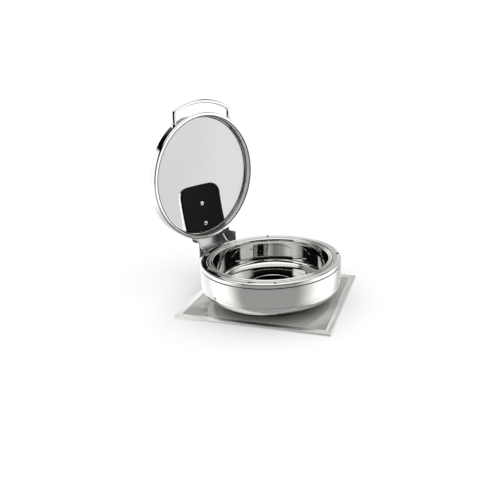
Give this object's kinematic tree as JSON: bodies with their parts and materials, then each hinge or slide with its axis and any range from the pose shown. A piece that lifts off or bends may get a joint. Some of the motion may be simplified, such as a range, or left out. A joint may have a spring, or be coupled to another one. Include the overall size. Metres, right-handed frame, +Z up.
{
  "type": "soup kettle",
  "caption": "Low round steel soup kettle with a lift-up domed glass lid, bow handle and lift-out insert, standing on a framed glass warming plate.",
  "frame": {"origin": "centre of the plate's underside, on the kettle's vertical axis, at table level", "axes": "+Z up; -Y is the front, where the lid's handle comes down; the lid hinge is at +Y and its pin runs along X; the lid is stored fully open"},
  "size_m": [0.5128, 0.569, 0.5478],
  "materials": {
    "polished_steel": "mirror-polished stainless steel",
    "satin_steel": "satin stainless steel",
    "grey_glass": "opaque grey glass, glossy",
    "clear_glass": "clear tempered glass",
    "black_plastic": "fine-grained black plastic",
    "grey_silicone": "dark silicone"
  },
  "bodies": {
    "base": {"base_frame": "satin_steel", "base_backing": "satin_steel", "base_glass": "grey_glass"},
    "kettle": {"kettle_casing": "polished_steel", "induction_base": "satin_steel", "collar_ring": "polished_steel", "water_pan": "satin_steel", "soup_insert": "polished_steel", "rim_buffer_front_left": "grey_silicone", "rim_buffer_front_right": "grey_silicone", "rim_buffer_back_left": "grey_silicone", "rim_buffer_back_right": "grey_silicone", "hinge_bracket": "satin_steel", "bracket_screw_upper_left": "satin_steel", "bracket_screw_upper_right": "satin_steel", "bracket_screw_lower_left": "satin_steel", "bracket_screw_lower_right": "satin_steel", "hinge_pin": "polished_steel", "pin_cap_left": "polished_steel", "pin_cap_right": "polished_steel", "hinge_washer_left": "black_plastic", "hinge_washer_right": "black_plastic", "torsion_spring": "satin_steel"},
    "lid": {"lid_ring": "polished_steel", "lid_gasket": "grey_silicone", "lid_glass": "clear_glass", "glass_seal": "grey_silicone", "hinge_cover": "polished_steel", "lid_arm_left": "satin_steel", "lid_arm_right": "satin_steel", "inner_pad": "black_plastic", "pad_screw_front": "polished_steel", "pad_screw_rear": "polished_steel", "handle_bar": "polished_steel", "handle_ferrule_left": "polished_steel", "handle_ferrule_right": "polished_steel"}
  },
  "joints": [
    {"name": "kettle_lift", "type": "slide", "parent": "base", "child": "kettle", "axis": [0, 0, 1], "range_m": [0, 0.06]},
    {"name": "lid_hinge", "type": "hinge", "parent": "kettle", "child": "lid", "pos_m": [0, 0.2225, 0.096], "axis": [1, 0, 0], "range_deg": [0, 90]}
  ]
}
